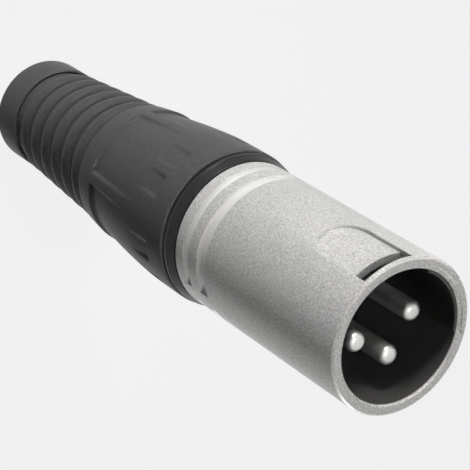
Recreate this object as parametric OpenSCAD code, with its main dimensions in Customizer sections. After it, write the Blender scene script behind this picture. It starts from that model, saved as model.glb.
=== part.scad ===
// Three pole male cable plug: round metal shell, insulator with three pins,
// screw bushing with a soft boot, and a slotted cable clamp inside.
// The plug stands on the rear face of its boot; the mouth looks up (+Z).
// The latch window lies towards -Y.

/* [Shell] */
// Outer diameter of the shell
shell_d = 19; // [18.4:0.1:20]
// Length of the shell
shell_len = 31.25; // [31:0.25:34]
// Wall of the mouth
mouth_wall = 1.45; // [1.2:0.05:1.6]
// Wall of the shell round the insulator
seat_wall = 1.87; // [1.7:0.01:2.1]
// Wall of the shell round the thread of the bushing
thread_wall = 1.5; // [1.3:0.05:1.7]
// Depth of the mouth, from the rim to the face of the insulator
mouth_depth = 17.5; // [16.5:0.25:18.5]
// Chamfer round the outside of the rim
rim_chamfer = 0.25; // [0.1:0.05:0.4]
// Chamfer round the inside of the rim
mouth_chamfer = 0.3; // [0.1:0.05:0.4]
// Width of the two ring grooves: rear, front
groove_w = [1.15, 1.6]; // [0.5:0.05:2]
// Distance of each groove from the rear end of the shell
groove_at = [1.8, 4.75]; // [1:0.05:6]
// Depth of the ring grooves
groove_depth = 0.4; // [0.2:0.05:0.6]
// Width of the bare land on each side, where the grooves stop
groove_land_w = 2.8; // [1:0.1:5]

/* [Latch window] */
// Width of the window and of the arch behind it
window_w = 6.5; // [5:0.1:7.5]
// Length of the window, along the plug
window_len = 2; // [1.5:0.1:3]
// Width of the bridge between window and rim
bridge_w = 0.65; // [0.5:0.05:1.5]
// Length of the arched recess, from the window to its round end
arch_len = 8.55; // [6:0.05:11]
// Depth of the arched recess
arch_depth = 0.45; // [0.2:0.05:0.6]
// Angle of the thin lip inside the rim, at the window
lip_angle = 76; // [40:1:90]
// Height of that lip over the bore
lip_h = 0.3; // [0.1:0.05:0.4]
// Depth of the step from the rim down to the lip
lip_step = 0.25; // [0.1:0.05:0.4]
// Wall of the bridge outside that step
bridge_wall = 0.85; // [0.6:0.05:1.1]

/* [Insulator] */
// Width of the shoulder in the shell that stops the insulator
shoulder_w = 0.55; // [0.4:0.05:0.8]
// Thickness of the shoulder in the shell that stops the insulator
shoulder_len = 1; // [0.6:0.1:1.5]
// Length of the thick part of the insulator
insert_len = 5; // [4:0.1:6]
// Clearance of the rear boss in the wire chamber of the clamp
boss_gap = 0.1; // [0.05:0.05:0.2]
// Length of the rear boss
insert_boss_len = 4; // [2:0.1:4.5]

/* [Contacts] */
// Diameter of a pin
pin_d = 2.4; // [2.2:0.05:2.6]
// Diameter of the neck of a pin, moulded into the insulator
neck_d = 2; // [1.8:0.05:2.1]
// Rounding of the tip of a pin
tip_round = 0.75; // [0.5:0.05:1.1]
// Length of a pin in front of the insulator
pin_len = 14.8; // [13:0.1:15.5]
// Distance of the pins from the edge of the rear boss
pin_rim = 1.95; // [1.8:0.05:2.1]
// Diameter of the collar that holds a pin in the insulator
pin_collar_d = 3; // [2.8:0.1:3.2]
// Outer diameter of a solder cup
cup_d = 2.9; // [2.6:0.1:3]
// Bore of a solder cup
cup_bore = 2; // [1.6:0.1:2.2]
// Length of a solder cup behind the insulator
cup_len = 4.6; // [3:0.1:5]
// Thickness of the sheet of the ground contact
strip_t = 0.35; // [0.25:0.05:0.4]
// Width of the ground contact
strip_w = 3; // [2:0.1:3.2]
// Length of its solder lug behind the insulator
lug_len = 4; // [3:0.1:5]
// Hole in the solder lug
lug_hole_d = 1.4; // [1:0.1:1.8]
// Depth of the ground contact under the side of the insulator
strip_sink = 0.4; // [0.2:0.05:0.5]
// Radius of the bump that presses against the shell
bump_r = 1.1; // [0.8:0.1:1.3]
// Floor of a solder cup
cup_floor = 0.6; // [0.4:0.1:1]

/* [Bushing] */
// Wall of the threaded spigot
spigot_wall = 1.05; // [0.9:0.05:1.3]
// Distance from the end of the threaded spigot to the insulator
spigot_gap = 0.8; // [0.4:0.1:1.5]
// Wall of the sleeve that the boot sits on
sleeve_wall = 1; // [0.8:0.05:1.2]
// Length of that sleeve
sleeve_len = 21.35; // [20:0.05:22]
// Length of the front band that shows between boot and shell
band_len = 2.05; // [1.6:0.05:3]
// Step from the boot down to the bead on the band
band_step = 0.2; // [0.1:0.05:0.3]
// Width of the gap between the boot and the bead
bead_gap = 0.45; // [0.3:0.05:0.6]
// Depth of that gap
bead_gap_depth = 0.35; // [0.2:0.05:0.5]
// Width of the bead
bead_w = 0.45; // [0.3:0.05:0.6]
// Height of the bead over the band
bead_h = 0.1; // [0.05:0.05:0.2]
// Depth of the relief behind the thread and of the bevel at its front
thread_relief = 0.4; // [0.2:0.05:0.6]
// Length of that relief
relief_len = 0.6; // [0.4:0.1:1]
// Distance of the two rings that lock the boot from the rear end of the sleeve
anchor_at = [4, 12]; // [2:0.5:16]
// Width of those rings
anchor_w = 1; // [0.6:0.1:1.5]
// Height of those rings
anchor_h = 0.4; // [0.2:0.05:0.5]
// Fall in radius along the clamping cone
cone_h = 1.9; // [1.6:0.1:2.1]
// Length of the clamping cone
cone_len = 10; // [8:0.1:11]
// Length of the straight bore behind the cone
tail_len = 1; // [0.6:0.1:1.5]

/* [Cable clamp] */
// Radius from the bore between the fingers to the narrow end of the cone
finger_wall = 0.7; // [0.6:0.1:1]
// Wall of the wire chamber
chamber_wall = 0.85; // [0.7:0.05:1]
// Distance of the finger tips above the narrow end of the cone
finger_gap = 2.5; // [1.5:0.1:3]
// Length of the slots between the fingers
slot_len = 11.5; // [9:0.1:13]
// Width of the slots between the fingers
slot_w = 1; // [0.6:0.1:1.4]
// Number of rings of teeth inside the fingers
tooth_rings = 3; // [2:1:5]
// Distance from ring to ring
tooth_pitch = 2; // [1.5:0.1:2.4]
// Height of the teeth
tooth_h = 0.3; // [0.1:0.05:0.4]
// Length of the wire chamber
chamber_len = 11.65; // [10:0.05:12.5]
// Width of the two windows of the wire chamber
clamp_window_w = 5; // [3:0.1:6]
// Height of the two windows of the wire chamber
clamp_window_h = 6; // [4:0.1:7]
// Wall of the chamber above the windows
clamp_window_wall = 2; // [1:0.1:3]
// Width of the key that makes the clamp turn with the insulator
key_w = 2.8; // [2:0.1:3.2]
// Height of that key
key_h = 1.2; // [0.8:0.1:1.5]

/* [Boot] */
// Length of the boot
boot_len = 47.35; // [47:0.05:48]
// Height of the front of the boot over the shell
boot_over = 0.67; // [0.5:0.01:1]
// Fall in radius from the front of the boot to its waist, before the first rib
waist_drop = 1.37; // [1.1:0.01:1.5]
// Length of the straight front of the boot
boot_straight = 2.95; // [2:0.05:5]
// Rounding of the front edge of the boot
boot_front_r = 0.25; // [0.1:0.05:0.4]
// Step from the waist down to the first rib
rib_step = 0.15; // [0.05:0.05:0.3]
// Fall in radius from the first rib to the collar
rib_drop = 1.35; // [1:0.05:1.5]
// Number of ring grooves between the ribs
rib_grooves = 7; // [5:1:7]
// Distance from groove to groove
rib_pitch = 3.12; // [2.9:0.02:3.2]
// Width of a ring groove at its floor
rib_groove_w = 0.6; // [0.4:0.05:0.8]
// Height of the ribs over the floor of the grooves
rib_h = 0.65; // [0.4:0.05:0.8]
// Height of the first ring groove over the rear face; the smooth collar lies behind it
first_groove_z = 6.2; // [5:0.05:6.5]
// Rounding of the rear edge of the collar
collar_r = 0.8; // [0.4:0.1:1]
// Bore for the cable
cable_d = 8; // [6:0.1:8.4]
// Bevel at both ends of that bore
bore_bevel = 0.4; // [0.2:0.1:0.8]

/* [Grip] */
// Number of grip panels round the boot
panels = 5; // [4:1:6]
// Width of a grip panel, as an angle
panel_angle = 62; // [40:1:64]
// Length of a grip panel
panel_len = 11.6; // [8:0.1:13]
// Depth of a grip panel at its rear end
panel_depth = 0.4; // [0.2:0.05:0.5]
// Distance of the rear end of the panels from the waist
panel_from_waist = 3.3; // [2.5:0.1:5]
// Width of a finger notch, as an angle
notch_angle = 15; // [8:1:20]
// Angle between the two finger notches of one panel
notch_spread = 23.6; // [20:0.2:30]
// Length of a finger notch
notch_len = 5.5; // [3:0.1:7]
// Depth of a finger notch at its front end
notch_depth = 0.35; // [0.2:0.05:0.5]
// Distance of the front end of the notches from the front of the boot
notch_from_front = 3.45; // [2:0.05:5]
// Turn of the panels against the latch window
panel_turn = 28; // [0:1:72]

/* [Fits] */
// Radial clearance of the thread and of the clamp in its bore
run_gap = 0.05; // [0.02:0.01:0.1]
// Clearance between end faces of pieces that move apart
face_gap = 0.05; // [0.02:0.01:0.1]
// Radial clearance of pieces that sit still in a bore
seat_gap = 0.03; // [0.01:0.01:0.05]

/* [Hidden] */
$fn = 96;
// A cutter reaches this far past the face that it cuts
over = 1;
// A ring of teeth sinks this far into the wall it stands on
root = 0.1;
// Corners of a rib from edge to edge
rib_steps = 12;
// Points along the flared flank of the boot
flank_steps = 10;

mouth_d = shell_d - 2*mouth_wall;
insert_d = shell_d - 2*(seat_wall + seat_gap);
insert_front_d = insert_d - 2*shoulder_w;
thread_d = shell_d - 2*(thread_wall + run_gap);
bushing_bore = thread_d - 2*spigot_wall;
sleeve_d = bushing_bore + 2*sleeve_wall;
cone_d = bushing_bore - 2*cone_h;
clamp_bore = cone_d - 2*finger_wall;
chamber_d = bushing_bore - 2*(run_gap + chamber_wall);
insert_boss_d = chamber_d - 2*boss_gap;
pin_circle_d = insert_boss_d - 2*pin_rim;
boot_d = shell_d + 2*boot_over;
waist_d = boot_d - 2*waist_drop;
rib_first_d = waist_d - 2*rib_step;
rib_last_d = rib_first_d - 2*rib_drop;

band_z = boot_len + band_len;
shell_z = band_z + face_gap;
rim_z = shell_z + shell_len;
face_z = rim_z - mouth_depth;
insert_step_z = face_z - shoulder_len;
insert_z = insert_step_z - insert_len;
boss_z = insert_z - insert_boss_len;
thread_top_z = insert_z - spigot_gap;
window_top_z = rim_z - bridge_w;
window_z = window_top_z - window_len;
arch_z = window_z - arch_len;
arch_floor_r = shell_d/2 - arch_depth;
window_dir = 270;
strip_side_y = insert_d/2 - strip_sink - strip_t;
strip_tail_y = insert_boss_d/2 - strip_sink - strip_t;

sleeve_z = boot_len - sleeve_len;
cone_z = sleeve_z + tail_len;
cone_top_z = cone_z + cone_len;
clamp_z = cone_z + finger_gap;
clamp_top_z = insert_z - face_gap;
clamp_r = bushing_bore/2 - run_gap;
chamber_z = clamp_top_z - chamber_len;
key_inner_y = sqrt(pow(chamber_d/2, 2) - pow(key_w/2, 2));

waist_z = first_groove_z + (rib_grooves - 1)*rib_pitch + rib_groove_w;
flank_len = boot_len - boot_straight - waist_z;
panel_z = waist_z + panel_from_waist;
notch_top_z = boot_len - notch_from_front;

// Radius of the boot at height z: straight front, then one arc down to the waist
function flank_r(z) =
    let (t = min(1, max(0, (boot_len - boot_straight - z)/flank_len)))
    boot_d/2 - (boot_d - waist_d)/2*t*t;

// Radius over the ribs at height z
function rib_top_r(z) =
    rib_last_d/2 + (rib_first_d - rib_last_d)/2*(z - first_groove_z)/(waist_z - first_groove_z);

// Height of groove number i above the rear face
function groove_z(i) = first_groove_z + i*rib_pitch;

// A rib is a round hump: t runs from -1 to 1 across it
function hump(t) = pow(1 - pow(abs(t), 2.6), 1/2.6);

// Outline of the rib above groove i, from floor to floor
function rib_points(i) =
    let (z0 = groove_z(i) + rib_groove_w/2, z1 = groove_z(i + 1) - rib_groove_w/2,
         floor_r = rib_top_r((z0 + z1)/2) - rib_h)
    [for (k = [0:rib_steps])
        let (a = 180*k/rib_steps, t = -cos(a))
        [floor_r + rib_h*hump(t), z0 + (z1 - z0)*(t + 1)/2]];

// Quarter round from angle a0 to a1 about a centre
function round_points(cx, cz, r, a0, a1, steps) =
    [for (k = [0:steps]) let (a = a0 + (a1 - a0)*k/steps) [cx + r*cos(a), cz + r*sin(a)]];

// Outer outline of the boot, from the rear face to the front edge
boot_outline = concat(
    round_points(rib_last_d/2 - collar_r, collar_r, collar_r, -90, 0, 6),
    round_points(rib_last_d/2 - rib_h, groove_z(0) - rib_groove_w/2 - rib_h, rib_h, 0, 90, 5),
    [for (i = [0:rib_grooves - 2]) each rib_points(i)],
    [[waist_d/2 - rib_h, groove_z(rib_grooves - 1) + rib_groove_w/2]],
    [for (k = [0:flank_steps])
        let (z = waist_z + flank_len*k/flank_steps) [flank_r(z), z]],
    round_points(boot_d/2 - boot_front_r, boot_len - boot_front_r, boot_front_r, 0, 90, 4));

// Sector of a ring: from radius r0 to r1, from z0 to z1, a_w degrees wide about a_mid
module ring_sector(r0, r1, z0, z1, a_mid, a_w) {
    rotate([0, 0, a_mid - a_w/2])
        rotate_extrude(angle = a_w)
            translate([r0, z0]) square([r1 - r0, z1 - z0]);
}

module tube(d0, d1, z0, z1) {
    difference() {
        translate([0, 0, z0]) cylinder(d = d1, h = z1 - z0);
        translate([0, 0, z0 - over]) cylinder(d = d0, h = z1 - z0 + 2*over);
    }
}

// Outline of the arch and window, seen from outside: x across, y along the plug
module arch_outline() {
    translate([0, arch_z + window_w/2]) circle(d = window_w);
    translate([-window_w/2, arch_z + window_w/2])
        square([window_w, window_top_z - arch_z - window_w/2]);
}

module arch_cut() {
    difference() {
        rotate([90, 0, 0]) linear_extrude(shell_d/2 + over) arch_outline();
        translate([0, 0, arch_z - over]) cylinder(r = arch_floor_r, h = rim_z - arch_z + 2*over);
    }
}

module window_cut() {
    translate([-window_w/2, -shell_d/2 - over, window_z])
        cube([window_w, shell_d/2 + over - mouth_d/4, window_len]);
}

module ring_groove_cut(i) {
    z0 = shell_z + groove_at[i];
    difference() {
        tube(shell_d - 2*groove_depth, shell_d + 2*over, z0, z0 + groove_w[i]);
        translate([-shell_d, -groove_land_w/2, z0 - 2*over])
            cube([2*shell_d, groove_land_w, groove_w[i] + 4*over]);
    }
}

module shell_blank() {
    r = shell_d/2;
    rotate_extrude()
        polygon([[thread_d/2 + run_gap, shell_z],
                 [r - rim_chamfer, shell_z],
                 [r, shell_z + rim_chamfer],
                 [r, rim_z - rim_chamfer],
                 [r - rim_chamfer, rim_z],
                 [mouth_d/2 + mouth_chamfer, rim_z],
                 [mouth_d/2, rim_z - mouth_chamfer],
                 [mouth_d/2, face_z],
                 [insert_front_d/2 + seat_gap, face_z],
                 [insert_front_d/2 + seat_gap, insert_step_z],
                 [insert_d/2 + seat_gap, insert_step_z],
                 [insert_d/2 + seat_gap, insert_z],
                 [thread_d/2 + run_gap, insert_z]]);
}

// Thin lip inside the rim at the window, one step below the rim
module rim_lip() {
    ring_sector(mouth_d/2 - lip_h, shell_d/2 - bridge_wall, window_top_z, rim_z - lip_step,
                window_dir, lip_angle);
}

module shell() {
    color("silver") {
        difference() {
            shell_blank();
            arch_cut();
            window_cut();
            for (i = [0, 1]) ring_groove_cut(i);
            ring_sector(mouth_d/2 - over, shell_d/2 - bridge_wall, window_top_z, rim_z + over,
                        window_dir, lip_angle);
        }
        rim_lip();
    }
}

module pin_places() {
    for (a = [180, 0, 90])
        rotate([0, 0, a]) translate([pin_circle_d/2, 0, 0]) children();
}

// Space for the ground contact: side, underside and boss of the insulator
module strip_space() {
    w = strip_w + 2*seat_gap;
    translate([-w/2, -insert_d/2 - over, insert_z - over])
        cube([w, insert_d/2 + over - strip_side_y, insert_len + over]);
    translate([-w/2, -insert_d/2 - over, insert_z - over])
        cube([w, insert_d/2 + over - strip_tail_y, strip_t + over]);
    translate([-w/2, -insert_d/2 - over, boss_z - over])
        cube([w, insert_d/2 + over - strip_tail_y, insert_boss_len + over]);
}

module insert() {
    color("dimgray")
    difference() {
        union() {
            translate([0, 0, insert_step_z]) cylinder(d = insert_front_d, h = shoulder_len);
            translate([0, 0, insert_z]) cylinder(d = insert_d, h = insert_len);
            translate([0, 0, boss_z]) cylinder(d = insert_boss_d, h = insert_boss_len);
        }
        pin_places() {
            translate([0, 0, boss_z - over])
                cylinder(d = neck_d, h = face_z - boss_z + 2*over);
            translate([0, 0, boss_z - over])
                cylinder(d = pin_collar_d, h = insert_z - boss_z + over);
        }
        strip_space();
        translate([-key_w/2 - run_gap, key_inner_y - run_gap, insert_z - over])
            cube([key_w + 2*run_gap, insert_d, key_h + face_gap + over]);
    }
}

module contact_pin() {
    tip_z = face_z + pin_len;
    cup_z = boss_z - cup_len;
    difference() {
        union() {
            rotate_extrude()
                polygon(concat(
                    [[0, face_z], [pin_d/2, face_z]],
                    round_points(pin_d/2 - tip_round, tip_z - tip_round, tip_round, 0, 90, 6),
                    [[0, tip_z]]));
            translate([0, 0, insert_z]) cylinder(d = neck_d, h = face_z - insert_z + over);
            translate([0, 0, boss_z]) cylinder(d = pin_collar_d, h = insert_z - boss_z);
            translate([0, 0, cup_z]) cylinder(d = cup_d, h = cup_len);
        }
        translate([0, 0, cup_z - over]) cylinder(d = cup_bore, h = cup_len - cup_floor + over);
        translate([0, -cup_d/2, cup_z - over]) cube([cup_d, cup_d, cup_len/2 + over]);
    }
}

module pin_at(a) {
    color("gainsboro") rotate([0, 0, a]) translate([pin_circle_d/2, 0, 0]) contact_pin();
}

module pin_1() { pin_at(180); }
module pin_2() { pin_at(0); }
module pin_3() { pin_at(90); }

module ground_contact() {
    lug_z = boss_z - lug_len;
    bump_z = (insert_z + insert_step_z)/2;
    color("darkgray") {
        translate([-strip_w/2, -strip_side_y - strip_t, insert_z])
            cube([strip_w, strip_t, insert_len - seat_gap]);
        translate([-strip_w/2, -strip_side_y - strip_t, insert_z])
            cube([strip_w, strip_side_y + strip_t - strip_tail_y, strip_t]);
        difference() {
            translate([-strip_w/2, -strip_tail_y - strip_t, lug_z])
                cube([strip_w, strip_t, insert_z - lug_z]);
            translate([0, -strip_tail_y - strip_t - over, lug_z + lug_hole_d])
                rotate([-90, 0, 0]) cylinder(d = lug_hole_d, h = strip_t + 2*over);
        }
        intersection() {
            translate([0, bump_r - insert_d/2, bump_z]) sphere(r = bump_r);
            translate([-bump_r, -insert_d/2, bump_z - bump_r])
                cube([2*bump_r, insert_d/2 - strip_side_y, 2*bump_r]);
        }
    }
}

module cable_clamp() {
    finger_r = cone_d/2 + (bushing_bore - cone_d)/2*finger_gap/cone_len - run_gap;
    color("white") {
        difference() {
            union() {
                rotate_extrude()
                    polygon([[clamp_bore/2, clamp_z],
                             [finger_r, clamp_z],
                             [clamp_r, cone_top_z],
                             [clamp_r, clamp_top_z],
                             [chamber_d/2, clamp_top_z],
                             [chamber_d/2, chamber_z + (chamber_d - clamp_bore)/2],
                             [clamp_bore/2, chamber_z]]);
                for (i = [0:tooth_rings - 1]) tooth_ring(clamp_z + tooth_pitch*(i + 0.5));
            }
            for (a = [45, 135])
                rotate([0, 0, a])
                    translate([-slot_w/2, -clamp_r - over, clamp_z - over])
                        cube([slot_w, 2*(clamp_r + over), slot_len + over]);
            translate([-clamp_r - over, -clamp_window_w/2,
                       clamp_top_z - clamp_window_wall - clamp_window_h])
                cube([2*(clamp_r + over), clamp_window_w, clamp_window_h]);
        }
        intersection() {
            tube(chamber_d, 2*clamp_r, clamp_top_z, clamp_top_z + key_h);
            translate([-key_w/2, 0, clamp_top_z]) cube([key_w, clamp_r + over, key_h]);
        }
    }
}

// One ring of teeth that bites into the cable
module tooth_ring(z) {
    r = clamp_bore/2;
    rotate_extrude()
        polygon([[r + root, z], [r - tooth_h, z], [r + root, z + tooth_pitch/2]]);
}

// Outer outline of the sleeve, from its rear end up to the band
sleeve_outline = concat(
    [[sleeve_d/2, sleeve_z]],
    [for (at = anchor_at)
        let (r = sleeve_d/2, z = sleeve_z + at)
        each [[r, z], [r + anchor_h, z], [r + anchor_h, z + anchor_w], [r, z + anchor_w + anchor_h]]],
    [[sleeve_d/2, boot_len]]);

module bushing() {
    band_r = boot_d/2 - band_step;
    thread_r = thread_d/2;
    color("black")
    rotate_extrude()
        polygon(concat(
            [[cone_d/2, sleeve_z]],
            sleeve_outline,
            [[band_r - bead_gap_depth, boot_len],
             [band_r - bead_gap_depth, boot_len + bead_gap],
             [band_r, boot_len + bead_gap],
             [band_r, boot_len + bead_gap + bead_w],
             [band_r - bead_h, boot_len + bead_gap + bead_w + bead_h],
             [shell_d/2 + face_gap, band_z],
             [thread_r - thread_relief, band_z],
             [thread_r - thread_relief, band_z + relief_len],
             [thread_r, band_z + relief_len + thread_relief],
             [thread_r, thread_top_z - thread_relief],
             [thread_r - thread_relief, thread_top_z],
             [bushing_bore/2, thread_top_z],
             [bushing_bore/2, cone_top_z],
             [cone_d/2, cone_z]]));
}

// Grip panel: deep at its rear end, level with the boot at its front end
module panel_cut(a) {
    z0 = panel_z;
    z1 = panel_z + panel_len;
    steps = 6;
    rotate([0, 0, a - panel_angle/2])
        rotate_extrude(angle = panel_angle)
            polygon(concat(
                [for (k = [0:steps])
                    let (z = z0 + panel_len*k/steps)
                    [flank_r(z) - panel_depth*(1 - k/steps), z]],
                [[boot_d/2 + over, z1], [boot_d/2 + over, z0]]));
}

// Finger notch: deep at its front end, level with the boot at its rear end
module notch_cut(a) {
    z0 = notch_top_z - notch_len;
    rotate([0, 0, a - notch_angle/2])
        rotate_extrude(angle = notch_angle)
            polygon([[flank_r(z0), z0],
                     [flank_r(notch_top_z) - notch_depth, notch_top_z],
                     [boot_d/2 + over, notch_top_z],
                     [boot_d/2 + over, z0]]);
}

module boot() {
    color("black")
    difference() {
        rotate_extrude()
            polygon(concat(
                [[cable_d/2 + bore_bevel, 0]],
                boot_outline,
                [for (k = [len(sleeve_outline) - 1:-1:0]) sleeve_outline[k]],
                [[cable_d/2 + bore_bevel, sleeve_z],
                 [cable_d/2, sleeve_z - bore_bevel],
                 [cable_d/2, bore_bevel]]));
        for (i = [0:panels - 1]) {
            a = window_dir + panel_turn + i*360/panels;
            panel_cut(a);
            for (side = [-1, 1]) notch_cut(a + side*notch_spread/2);
        }
    }
}

boot();
bushing();
cable_clamp();
shell();
insert();
pin_1();
pin_2();
pin_3();
ground_contact();
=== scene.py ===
import math

import bpy
from mathutils import Matrix, Vector


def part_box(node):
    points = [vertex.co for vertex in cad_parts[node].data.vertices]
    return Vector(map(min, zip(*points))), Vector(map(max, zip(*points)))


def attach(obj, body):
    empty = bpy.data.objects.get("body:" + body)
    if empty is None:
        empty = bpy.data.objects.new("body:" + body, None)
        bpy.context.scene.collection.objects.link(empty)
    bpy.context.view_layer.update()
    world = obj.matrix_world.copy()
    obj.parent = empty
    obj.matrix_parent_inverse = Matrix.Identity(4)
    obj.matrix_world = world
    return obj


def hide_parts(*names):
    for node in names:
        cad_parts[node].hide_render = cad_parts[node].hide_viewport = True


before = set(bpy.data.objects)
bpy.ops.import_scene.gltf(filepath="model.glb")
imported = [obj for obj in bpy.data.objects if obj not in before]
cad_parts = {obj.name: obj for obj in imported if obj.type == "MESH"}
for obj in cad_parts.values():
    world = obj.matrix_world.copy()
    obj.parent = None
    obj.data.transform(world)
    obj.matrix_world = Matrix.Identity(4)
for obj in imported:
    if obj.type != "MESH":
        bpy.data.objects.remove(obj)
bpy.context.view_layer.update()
MM = 0.001


# Camera
# A long lens looks down into the mouth of the plug, and is turned on its side so that
# the plug runs from the upper left to the lower right.
view_azimuth = math.radians(-52)
view_elevation = math.radians(48.145)
view_roll = math.radians(122.6)
view_distance = 229.04 * MM
view_aim = Vector((0.272, 0.212, 48.625)) * MM

toward_camera = Vector((
    math.cos(view_elevation) * math.cos(view_azimuth),
    math.cos(view_elevation) * math.sin(view_azimuth),
    math.sin(view_elevation)))
camera_data = bpy.data.cameras.new("camera")
camera_data.lens = 144
camera_data.sensor_width = 36
camera_data.clip_start = 0.01
camera = bpy.data.objects.new("camera", camera_data)
bpy.context.collection.objects.link(camera)
leaning = toward_camera.to_track_quat("Z", "Y").to_matrix() @ Matrix.Rotation(view_roll, 3, "Z")
camera.matrix_world = Matrix.Translation(view_aim + toward_camera * view_distance) @ leaning.to_4x4()
bpy.context.scene.camera = camera
bpy.context.scene.view_settings.view_transform = "Standard"


# Floor
# A plain table top, large enough to fill every view from above. The camera and the gloss of the
# pieces see it mostly white. The rest is its grey paint, which keeps a faint shadow of the plug.
floor_size = 6.0
floor_colour = (0.35, 0.35, 0.35, 1)
shown_white = (1, 1, 1, 1)
shown_share = 0.85


def new_material(name, colour, roughness, metallic=0.0):
    """A Principled material; returns it with its nodes, its links and its shader."""
    material = bpy.data.materials.new(name)
    material.use_nodes = True
    nodes = material.node_tree.nodes
    shader = nodes["Principled BSDF"]
    shader.inputs["Base Color"].default_value = colour
    shader.inputs["Roughness"].default_value = roughness
    shader.inputs["Metallic"].default_value = metallic
    return material, nodes, material.node_tree.links, shader


def shown_rays(nodes, links):
    """The shown share for rays from the camera, a gloss or a clear body, and 0 for all others."""
    ray = nodes.new("ShaderNodeLightPath")
    seen = ray.outputs["Is Camera Ray"]
    for kind in ("Is Glossy Ray", "Is Transmission Ray"):
        either = nodes.new("ShaderNodeMath")
        either.operation = "MAXIMUM"
        links.new(seen, either.inputs[0])
        links.new(ray.outputs[kind], either.inputs[1])
        seen = either.outputs[0]
    share = nodes.new("ShaderNodeMath")
    share.operation = "MULTIPLY"
    share.inputs[1].default_value = shown_share
    links.new(seen, share.inputs[0])
    return share.outputs[0]


bpy.ops.object.select_all(action="DESELECT")
bpy.ops.mesh.primitive_plane_add(size=floor_size, location=(0, 0, 0))
floor = bpy.context.object
floor.name = "floor"
floor_paint, floor_nodes, floor_links, floor_shader = new_material("floor_paint", floor_colour, 0.8)
floor_shader.inputs["Specular IOR Level"].default_value = 0.1
shown = shown_rays(floor_nodes, floor_links)
glow = floor_nodes.new("ShaderNodeEmission")
glow.inputs["Color"].default_value = shown_white
blend = floor_nodes.new("ShaderNodeMixShader")
floor_links.new(shown, blend.inputs["Fac"])
floor_links.new(floor_shader.outputs["BSDF"], blend.inputs[1])
floor_links.new(glow.outputs["Emission"], blend.inputs[2])
floor_links.new(blend.outputs["Shader"], floor_nodes["Material Output"].inputs["Surface"])
floor.data.materials.append(floor_paint)


# Light
# Soft studio light: a pale surround that lights little itself, a low main lamp to the right of the
# camera, a weaker low one on the far left, and a narrow one from above on the rim and the pins.
sky_light = 0.02
surround = bpy.data.worlds.new("surround")
surround.use_nodes = True
sky_nodes = surround.node_tree.nodes
sky_links = surround.node_tree.links
sky_nodes["Background"].inputs["Color"].default_value = shown_white
strength = sky_nodes.new("ShaderNodeMath")
strength.operation = "ADD"
strength.inputs[1].default_value = sky_light
sky_links.new(shown_rays(sky_nodes, sky_links), strength.inputs[0])
sky_links.new(strength.outputs[0], sky_nodes["Background"].inputs["Strength"])
bpy.context.scene.world = surround
lamp_distance = 0.6


def add_lamp(name, azimuth, elevation, size, power, spread=180):
    """A square soft lamp that looks at the middle of the plug."""
    azimuth = math.radians(azimuth)
    elevation = math.radians(elevation)
    away = Vector((math.cos(elevation) * math.cos(azimuth),
                   math.cos(elevation) * math.sin(azimuth),
                   math.sin(elevation)))
    lamp_data = bpy.data.lights.new(name, "AREA")
    lamp_data.size = size
    lamp_data.energy = power
    lamp_data.spread = math.radians(spread)
    lamp = bpy.data.objects.new(name, lamp_data)
    bpy.context.collection.objects.link(lamp)
    lamp.matrix_world = (Matrix.Translation(Vector((0, 0, 40 * MM)) + away * lamp_distance)
                         @ away.to_track_quat("Z", "Y").to_matrix().to_4x4())


add_lamp("main_lamp", -104, 9, 0.12, 3.7)
add_lamp("side_lamp", 74, 9, 0.12, 2.4)
add_lamp("top_lamp", -82, 80, 0.06, 0.012, 14)


# Shell
# Die-cast zinc tube, blasted and plated with satin nickel. The mouth end carries the latch
# window with its arched recess, the rear end two ring grooves that stop at a land on each side.
shell_low, shell_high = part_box("shell")
shell_z, rim_z = shell_low[2], shell_high[2]
shell_r = shell_high[0]
mouth_r = 8.05 * MM
mouth_depth = 17.5 * MM
thread_bore_r = 8 * MM
seat_r = 7.63 * MM
shoulder_r = 7.08 * MM
shoulder = 1 * MM
seat = 5 * MM
rim_bevel = 0.25 * MM
mouth_bevel = 0.3 * MM
edge_round = 0.07 * MM
groove_floors = ((1.8 * MM, 1.15 * MM), (4.75 * MM, 1.6 * MM))
groove_depth = 0.4 * MM
groove_slope = 0.3 * MM
grooves_end = 7 * MM
land_half = math.degrees(math.asin(1.4 / 9.5))
window_w = 6.5 * MM
window_high = rim_z - 0.65 * MM
window_low = window_high - 2 * MM
arch_low = window_low - 8.55 * MM
arch_floor_r = shell_r - 0.45 * MM
step_r = shell_r - 0.85 * MM
step_angle = 76
lip_r = mouth_r - 0.3 * MM
lip_high = rim_z - 0.25 * MM
latch_side = 270
turn_steps = 240


def rounded(corners, steps=4):
    """An outline of (radius, height, rounding) corners, with each rounding as an arc."""
    points = []
    for i, (x, z, rounding) in enumerate(corners):
        here = Vector((x, z))
        if not rounding:
            points.append(here)
            continue
        before = (Vector(corners[i - 1][:2]) - here).normalized()
        after = (Vector(corners[(i + 1) % len(corners)][:2]) - here).normalized()
        half = before.angle(after) / 2
        centre = here + (before + after).normalized() * rounding / math.sin(half)
        first = here + before * rounding / math.tan(half) - centre
        last = here + after * rounding / math.tan(half) - centre
        sweep = first.angle_signed(last)
        for k in range(steps + 1):
            points.append(centre + Matrix.Rotation(-sweep * k / steps, 2) @ first)
    return points


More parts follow.
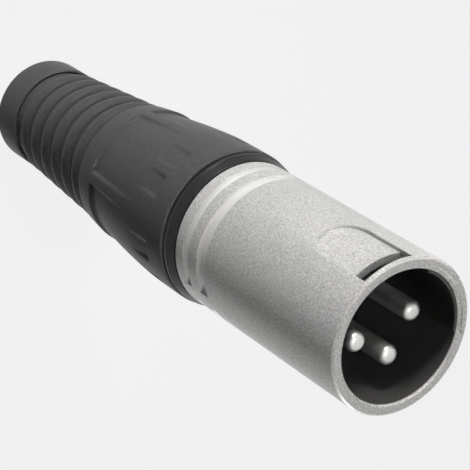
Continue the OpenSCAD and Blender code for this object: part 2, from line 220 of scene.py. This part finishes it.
def turned(name, outline, middle=0.0, width=360.0, steps=turn_steps):
    """Spins a closed outline about the axis of the plug, all the way or as a sector."""
    bpy.ops.object.select_all(action="DESELECT")
    bpy.ops.mesh.primitive_circle_add(vertices=len(outline), fill_type="NOTHING")
    piece = bpy.context.object
    piece.name = name
    start = math.radians(middle - width / 2)
    for vertex, (radius, height) in zip(piece.data.vertices, outline):
        vertex.co = (radius * math.cos(start), radius * math.sin(start), height)
    bpy.ops.object.mode_set(mode="EDIT")
    bpy.ops.mesh.select_all(action="SELECT")
    bpy.ops.mesh.spin(steps=steps, angle=math.radians(width), center=(0, 0, 0), axis=(0, 0, 1))
    bpy.ops.mesh.select_all(action="SELECT")
    bpy.ops.mesh.remove_doubles(threshold=0.001 * MM)
    if width < 360:
        bpy.ops.mesh.select_all(action="DESELECT")
        bpy.ops.mesh.select_non_manifold()
        bpy.ops.mesh.fill_holes(sides=0)
        bpy.ops.mesh.select_all(action="SELECT")
    bpy.ops.mesh.normals_make_consistent(inside=False)
    bpy.ops.object.mode_set(mode="OBJECT")
    return piece


def apply_modifier(piece, kind, **settings):
    """Adds one modifier to a piece and applies it."""
    bpy.ops.object.select_all(action="DESELECT")
    piece.select_set(True)
    bpy.context.view_layer.objects.active = piece
    modifier = piece.modifiers.new(kind.lower(), kind)
    for key, value in settings.items():
        setattr(modifier, key, value)
    bpy.ops.object.modifier_apply(modifier=modifier.name)


def cut(piece, cutter, operation="DIFFERENCE"):
    """Cuts a piece with a cutter, or joins the two, and removes the cutter."""
    apply_modifier(piece, "BOOLEAN", object=cutter, operation=operation, solver="EXACT")
    bpy.data.objects.remove(cutter)


def soften(piece, width, smooth_angle=35):
    """Breaks the sharp edges of a piece and shades it smooth."""
    bpy.ops.object.select_all(action="DESELECT")
    piece.select_set(True)
    bpy.context.view_layer.objects.active = piece
    bpy.ops.object.mode_set(mode="EDIT")
    bpy.ops.mesh.select_all(action="SELECT")
    bpy.ops.mesh.remove_doubles(threshold=0.01 * MM)
    bpy.ops.object.mode_set(mode="OBJECT")
    apply_modifier(piece, "BEVEL", width=width, segments=3, limit_method="ANGLE",
                   angle_limit=math.radians(40), use_clamp_overlap=False)
    bpy.ops.object.shade_smooth_by_angle(angle=math.radians(smooth_angle))


def block(name, low, high):
    """A box between two corners."""
    bpy.ops.object.select_all(action="DESELECT")
    bpy.ops.mesh.primitive_cube_add(size=1)
    piece = bpy.context.object
    piece.name = name
    for vertex in piece.data.vertices:
        vertex.co = [a + (b - a) * (c + 0.5) for a, b, c in zip(low, high, vertex.co)]
    return piece


face_z = rim_z - mouth_depth
shell_outline = rounded([
    (thread_bore_r, shell_z, 0),
    (shell_r - rim_bevel, shell_z, edge_round),
    (shell_r, shell_z + rim_bevel, edge_round),
    (shell_r, rim_z - rim_bevel, edge_round),
    (shell_r - rim_bevel, rim_z, edge_round),
    (mouth_r + mouth_bevel, rim_z, edge_round),
    (mouth_r, rim_z - mouth_bevel, edge_round),
    (mouth_r, face_z, 0),
    (shoulder_r, face_z, 0),
    (shoulder_r, face_z - shoulder, 0),
    (seat_r, face_z - shoulder, 0),
    (seat_r, face_z - shoulder - seat, 0),
    (thread_bore_r, face_z - shoulder - seat, 0)])
shell = turned("shell_body", shell_outline)

# The grooves, each in two halves between the lands
for rear_end, width in groove_floors:
    low = shell_z + rear_end
    high = low + width
    outer_low = low - MM * groove_slope / groove_depth
    for side in (90, 270):
        groove_outline = [(shell_r - groove_depth, low + groove_slope), (shell_r + MM, outer_low),
                          (shell_r + MM, high), (shell_r - groove_depth, high)]
        groove = turned("groove", groove_outline, side, 180 - 2 * land_half, turn_steps // 2)
        cut(shell, groove)

# The arched recess: a round end at the rear, straight sides up to the window
bpy.ops.object.select_all(action="DESELECT")
bpy.ops.mesh.primitive_cylinder_add(vertices=128, radius=window_w / 2, depth=4 * MM,
                                    location=(0, -shell_r, arch_low + window_w / 2),
                                    rotation=(math.pi / 2, 0, 0))
arch = bpy.context.object
bpy.ops.object.transform_apply()
for vertex in arch.data.vertices:
    if vertex.co.z > arch_low + window_w / 2 + 0.01 * MM:
        vertex.co.z = (window_low + window_high) / 2
        vertex.co.x = math.copysign(window_w / 2, vertex.co.x)
bpy.ops.object.mode_set(mode="EDIT")
bpy.ops.mesh.select_all(action="SELECT")
bpy.ops.mesh.remove_doubles(threshold=0.001 * MM)
bpy.ops.object.mode_set(mode="OBJECT")
core = turned("core", [(0.5 * MM, shell_z), (arch_floor_r, shell_z), (arch_floor_r, rim_z + MM),
                       (0.5 * MM, rim_z + MM)])
cut(arch, core)
cut(shell, arch)
cut(shell, block("window", (-window_w / 2, -shell_r - MM, window_low),
                 (window_w / 2, -mouth_r / 2, window_high)))

# The step inside the rim at the window, and the thin lip on it
cut(shell, turned("step", [(mouth_r - MM, lip_high), (step_r, lip_high), (step_r, rim_z + MM),
                           (mouth_r - MM, rim_z + MM)], latch_side, step_angle, 80))
cut(shell, turned("lip", [(lip_r, window_high), (mouth_r + 0.2 * MM, window_high),
                          (mouth_r + 0.2 * MM, lip_high), (lip_r, lip_high)],
                  latch_side, step_angle, 80), "UNION")
soften(shell, edge_round)


def satin_nickel():
    """Blasted nickel: fine speckle in the colour, the gloss and the surface. The bore is painted near black
    as painted shade.
    """
    material, nodes, links, shader = new_material("satin_nickel", (0.55, 0.54, 0.52, 1), 0.4, 0.1)
    shader.inputs["Specular IOR Level"].default_value = 0.2
    place = nodes.new("ShaderNodeTexCoord")
    grain = nodes.new("ShaderNodeTexNoise")
    grain.inputs["Scale"].default_value = 5500
    grain.inputs["Detail"].default_value = 2
    links.new(place.outputs["Object"], grain.inputs["Vector"])
    bump = nodes.new("ShaderNodeBump")
    bump.inputs["Strength"].default_value = 0.35
    bump.inputs["Distance"].default_value = 0.03 * MM
    links.new(grain.outputs["Fac"], bump.inputs["Height"])
    links.new(bump.outputs["Normal"], shader.inputs["Normal"])

    tone = nodes.new("ShaderNodeValToRGB")
    tone.color_ramp.elements[0].position = 0.35
    tone.color_ramp.elements[0].color = (0.38, 0.375, 0.365, 1)
    tone.color_ramp.elements[1].position = 0.68
    tone.color_ramp.elements[1].color = (0.7, 0.69, 0.67, 1)
    links.new(grain.outputs["Fac"], tone.inputs["Fac"])

    # Distance from the axis tells the bore from the outside
    parts = nodes.new("ShaderNodeSeparateXYZ")
    links.new(place.outputs["Object"], parts.inputs["Vector"])
    flat = nodes.new("ShaderNodeCombineXYZ")
    links.new(parts.outputs["X"], flat.inputs["X"])
    links.new(parts.outputs["Y"], flat.inputs["Y"])
    distance = nodes.new("ShaderNodeVectorMath")
    distance.operation = "LENGTH"
    links.new(flat.outputs["Vector"], distance.inputs[0])

    # The ring grooves are painted paler than the blasted surface: a painted highlight on their walls.
    shallow = nodes.new("ShaderNodeMapRange")
    shallow.inputs["From Min"].default_value = shell_r - 0.03 * MM
    shallow.inputs["From Max"].default_value = shell_r - 0.15 * MM
    links.new(distance.outputs["Value"], shallow.inputs["Value"])
    rear = nodes.new("ShaderNodeMath")
    rear.operation = "LESS_THAN"
    rear.inputs[1].default_value = shell_z + grooves_end
    links.new(parts.outputs["Z"], rear.inputs[0])
    in_groove = nodes.new("ShaderNodeMath")
    in_groove.operation = "MULTIPLY"
    links.new(shallow.outputs["Result"], in_groove.inputs[0])
    links.new(rear.outputs[0], in_groove.inputs[1])
    groove_painted_highlight = nodes.new("ShaderNodeMix")
    groove_painted_highlight.data_type = "RGBA"
    groove_painted_highlight.inputs["B"].default_value = (0.71, 0.7, 0.685, 1)
    links.new(in_groove.outputs[0], groove_painted_highlight.inputs["Factor"])
    links.new(tone.outputs["Color"], groove_painted_highlight.inputs["A"])

    # Inside the mouth the colour goes near black: painted shade in the bore.
    outside = nodes.new("ShaderNodeMapRange")
    outside.inputs["From Min"].default_value = mouth_r + 0.02 * MM
    outside.inputs["From Max"].default_value = mouth_r + 0.12 * MM
    links.new(distance.outputs["Value"], outside.inputs["Value"])
    colour = nodes.new("ShaderNodeMix")
    colour.data_type = "RGBA"
    colour.inputs["A"].default_value = (0.06, 0.058, 0.055, 1)
    links.new(outside.outputs["Result"], colour.inputs["Factor"])
    links.new(groove_painted_highlight.outputs["Result"], colour.inputs["B"])
    links.new(colour.outputs["Result"], shader.inputs["Base Color"])
    gloss = nodes.new("ShaderNodeMapRange")
    gloss.inputs["To Min"].default_value = 0.34
    gloss.inputs["To Max"].default_value = 0.5
    links.new(grain.outputs["Fac"], gloss.inputs["Value"])
    links.new(gloss.outputs["Result"], shader.inputs["Roughness"])
    return material


shell.data.materials.clear()
shell.data.materials.append(satin_nickel())
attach(shell, "shell")
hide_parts("shell")


# Insulator
# Black moulded nylon disc that carries the pins, seated in the shell against a shoulder.
def moulded_plastic(name, colour, roughness, grain_scale, grain_depth, shine=0.2):
    """Moulded plastic with a fine spark-eroded grain."""
    material, nodes, links, shader = new_material(name, colour, roughness)
    shader.inputs["Specular IOR Level"].default_value = shine
    place = nodes.new("ShaderNodeTexCoord")
    grain = nodes.new("ShaderNodeTexNoise")
    grain.inputs["Scale"].default_value = grain_scale
    grain.inputs["Detail"].default_value = 3
    links.new(place.outputs["Object"], grain.inputs["Vector"])
    bump = nodes.new("ShaderNodeBump")
    bump.inputs["Strength"].default_value = 0.4
    bump.inputs["Distance"].default_value = grain_depth
    links.new(grain.outputs["Fac"], bump.inputs["Height"])
    links.new(bump.outputs["Normal"], shader.inputs["Normal"])
    tone = nodes.new("ShaderNodeMapRange")
    tone.inputs["To Min"].default_value = 0.75
    tone.inputs["To Max"].default_value = 1.25
    links.new(grain.outputs["Fac"], tone.inputs["Value"])
    shade = nodes.new("ShaderNodeVectorMath")
    shade.operation = "SCALE"
    shade.inputs[0].default_value = colour[:3]
    links.new(tone.outputs["Result"], shade.inputs["Scale"])
    links.new(shade.outputs["Vector"], shader.inputs["Base Color"])
    return material


def dress(node, material):
    """Gives a CAD piece its finish."""
    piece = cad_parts[node]
    piece.data.materials.clear()
    piece.data.materials.append(material)


dress("insert", moulded_plastic("black_nylon", (0.02, 0.02, 0.02, 1), 0.45, 2500, 0.02 * MM))


# Pins
# Three turned brass contacts, silver plated, with rounded tips, pressed into the insulator.
# One is turned and copied to the other two places.
pin_low, pin_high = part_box("pin_2")
pin_tip = pin_high[2]
pin_r = 1.2 * MM
pin_round = 0.72 * MM
pin_places = {"pin_1": (-3.95 * MM, 0), "pin_2": (3.95 * MM, 0), "pin_3": (0, 3.95 * MM)}


def silver_plate():
    """Plated contact: bright, with faint turning marks round the pin."""
    material, nodes, links, shader = new_material("silver_plate", (0.72, 0.71, 0.69, 1), 0.35, 0.8)
    place = nodes.new("ShaderNodeTexCoord")
    marks = nodes.new("ShaderNodeTexNoise")
    marks.inputs["Scale"].default_value = 900
    stretch = nodes.new("ShaderNodeMapping")
    stretch.inputs["Scale"].default_value = (0.3, 0.3, 8)
    links.new(place.outputs["Object"], stretch.inputs["Vector"])
    links.new(stretch.outputs["Vector"], marks.inputs["Vector"])
    gloss = nodes.new("ShaderNodeMapRange")
    gloss.inputs["To Min"].default_value = 0.28
    gloss.inputs["To Max"].default_value = 0.45
    links.new(marks.outputs["Fac"], gloss.inputs["Value"])
    links.new(gloss.outputs["Result"], shader.inputs["Roughness"])
    return material


plate = silver_plate()
pin_outline = rounded([(0, pin_low[2], 0), (pin_r, pin_low[2], 0), (pin_r, pin_tip, pin_round),
                       (0, pin_tip, 0)], 8)
first_pin = turned("first_pin", pin_outline, steps=64)
first_pin.data.materials.clear()
first_pin.data.materials.append(plate)
for pin_name, (x, y) in pin_places.items():
    pin = first_pin.copy()
    pin.data = first_pin.data.copy()
    pin.name = pin_name + "_turned"
    bpy.context.collection.objects.link(pin)
    pin.data.transform(Matrix.Translation((x, y, 0)))
    bpy.ops.object.select_all(action="DESELECT")
    pin.select_set(True)
    bpy.context.view_layer.objects.active = pin
    bpy.ops.object.shade_smooth_by_angle(angle=math.radians(35))
    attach(pin, "shell")
    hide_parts(pin_name)
bpy.data.objects.remove(first_pin)


# Ground contact
# Punched and folded strip of plated sheet between the insulator and the shell, with a solder lug.
dress("ground_contact", plate)


# Cable clamp
# Pale moulded collet with four fingers, held in the bore of the bushing; it grips the cable.
dress("cable_clamp", moulded_plastic("pale_acetal", (0.62, 0.61, 0.57, 1), 0.4, 1500, 0.015 * MM))


# Boot
# Black soft moulding over the sleeve of the bushing. Five flat grip panels with two finger notches
# each stand round its thick end, and round ribs run round its thin end.
boot_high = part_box("boot")[1]
boot_r, boot_top = boot_high[0], boot_high[2]
straight = 2.95 * MM
waist_r = 8.8 * MM
first_groove = 6.2 * MM
rib_pitch = 3.12 * MM
rib_grooves = 7
groove_half = 0.3 * MM
rib_high = 0.65 * MM
rib_power = 1.8
rib_inset = 0.2 * MM
collar_r, ribs_r = 7.3 * MM, 8.65 * MM
collar_round = 0.8 * MM
cable_r = 4 * MM
sleeve_r = 7.9 * MM
waist_z = first_groove + (rib_grooves - 1) * rib_pitch + 2 * groove_half
panel_z = waist_z + 3.3 * MM
panel_long = 11.6 * MM
panel_deep = 0.4 * MM
panel_half = 31
notch_high = boot_top - 3.45 * MM
notch_long = 4.6 * MM
notch_deep = 0.28 * MM
notch_half = 7.5
notch_off = 11.8
panel_first = latch_side + 28
panel_step = 72


def flank(z):
    """Radius of the boot between its straight front and its waist."""
    down = (boot_top - straight - z) / (boot_top - straight - waist_z)
    return boot_r - (boot_r - waist_r) * max(0, min(1, down)) ** 2


def rib_top(z):
    return collar_r + (ribs_r - collar_r) * (z - first_groove) / (waist_z - first_groove)


def rib_rows(number, rows=18):
    """Points over one rib, from the groove behind it to the groove before it."""
    low = first_groove + number * rib_pitch + groove_half + rib_inset
    high = low + rib_pitch - 2 * (groove_half + rib_inset)
    floor_r = rib_top((low + high) / 2) - rib_high
    for k in range(rows + 1):
        across = -math.cos(math.pi * k / rows)
        hump = (1 - abs(across) ** rib_power) ** (1 / rib_power)
        yield (floor_r + rib_high * hump, low + (high - low) * (across + 1) / 2)


def ramp(value, low, high):
    """Smooth rise from 0 at low to 1 at high."""
    share = max(0, min(1, (value - low) / (high - low)))
    return share * share * (3 - 2 * share)


boot_outline = rounded([(cable_r, 0, 0.3 * MM), (collar_r, 0, collar_round),
                        (collar_r, first_groove - groove_half, 0.25 * MM)], 8)
boot_outline.append((collar_r - rib_high, first_groove - groove_half))
for number in range(rib_grooves - 1):
    boot_outline.extend(rib_rows(number))
boot_outline.append((waist_r - rib_high, waist_z - groove_half))
boot_outline.append((waist_r - 0.2 * MM, waist_z - 0.22 * MM))
flank_rows = 110
for k in range(flank_rows + 1):
    z = waist_z + (boot_top - straight - waist_z) * k / flank_rows
    boot_outline.append((flank(z), z))
boot_outline.extend(rounded([(boot_r, boot_top - straight / 2, 0), (boot_r, boot_top, 0.3 * MM),
                             (sleeve_r, boot_top, 0), (sleeve_r, boot_top - MM, 0),
                             (cable_r, boot_top - 2 * MM, 0)], 6))
boot = turned("boot_moulding", boot_outline, steps=288)

edge_blur = 1.1
for vertex in boot.data.vertices:
    x, y, z = vertex.co
    radius = math.hypot(x, y)
    if z < waist_z or radius < flank(z) - 0.05 * MM:
        continue
    turn = (math.degrees(math.atan2(y, x)) - panel_first + panel_step / 2) % panel_step - panel_step / 2
    inside = 1 - ramp(abs(turn), panel_half - edge_blur, panel_half + edge_blur)
    fade = max(0, 1 - (z - panel_z) / panel_long)
    depth = panel_deep * inside * fade * ramp(z, panel_z - 0.1 * MM, panel_z + 0.25 * MM)
    off = abs(abs(turn) - notch_off)
    in_notch = 1 - ramp(off, notch_half - edge_blur, notch_half + edge_blur)
    rise = max(0, (z - notch_high + notch_long) / notch_long)
    depth += notch_deep * in_notch * rise * (1 - ramp(z, notch_high - 0.15 * MM, notch_high + 0.15 * MM))
    vertex.co = (x * (1 - depth / radius), y * (1 - depth / radius), z)
bpy.ops.object.shade_smooth_by_angle(angle=math.radians(50))
boot.data.materials.clear()
boot.data.materials.append(moulded_plastic("black_rubber", (0.086, 0.086, 0.087, 1), 0.36, 1800,
                                           0.015 * MM, 0.03))
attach(boot, "boot")
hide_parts("boot")


# Bushing
# Black hard moulding that the boot sits on. Its bead shows before the boot, and its threaded
# spigot screws into the rear end of the shell.
bushing_low, bushing_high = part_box("bushing")
bead_r = boot_r - 0.2 * MM
band_top = boot_top + 2.05 * MM
spigot_r = 7.95 * MM
thread_deep = 0.45 * MM
thread_pitch = 1 * MM
bead_gap = 0.45 * MM
bead_gap_deep = 0.35 * MM
bead_high = boot_top + 0.9 * MM
sleeve_fit = 0.02 * MM
spigot_low = band_top + MM
spigot_high = bushing_high[2] - 0.4 * MM
spigot_rows = 48
bushing_bore = 6.9 * MM
hidden_z = boot_top - 0.9 * MM
bushing_outline = rounded([
    (bushing_bore, hidden_z, 0), (sleeve_r - sleeve_fit, hidden_z, 0), (sleeve_r - sleeve_fit, boot_top, 0),
    (bead_r - bead_gap_deep, boot_top, 0), (bead_r - bead_gap_deep, boot_top + bead_gap, 0),
    (bead_r, boot_top + bead_gap, 0.12 * MM), (bead_r, bead_high, 0.12 * MM),
    (bead_r - 0.1 * MM, boot_top + MM, 0.05 * MM), (shell_r + 0.05 * MM, band_top, 0.1 * MM),
    (spigot_r - thread_deep, band_top, 0)], 5)
for k in range(spigot_rows + 1):
    bushing_outline.append((spigot_r, spigot_low + (spigot_high - spigot_low) * k / spigot_rows))
bushing_outline.extend([(spigot_r - 0.4 * MM, bushing_high[2]), (bushing_bore, bushing_high[2])])
bushing = turned("bushing_moulding", bushing_outline, steps=192)
for vertex in bushing.data.vertices:
    x, y, z = vertex.co
    radius = math.hypot(x, y)
    if radius < spigot_r - 0.01 * MM or not spigot_low <= z <= spigot_high:
        continue
    phase = (z / thread_pitch - math.atan2(y, x) / math.tau) % 1
    depth = thread_deep * ramp(1 - abs(2 * phase - 1), 0.15, 0.85)
    vertex.co = (x * (1 - depth / radius), y * (1 - depth / radius), z)
bpy.ops.object.shade_smooth_by_angle(angle=math.radians(50))
bushing.data.materials.clear()
bushing.data.materials.append(moulded_plastic("black_acetal", (0.018, 0.018, 0.018, 1), 0.28, 1200,
                                              0.006 * MM))
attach(bushing, "boot")
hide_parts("bushing")
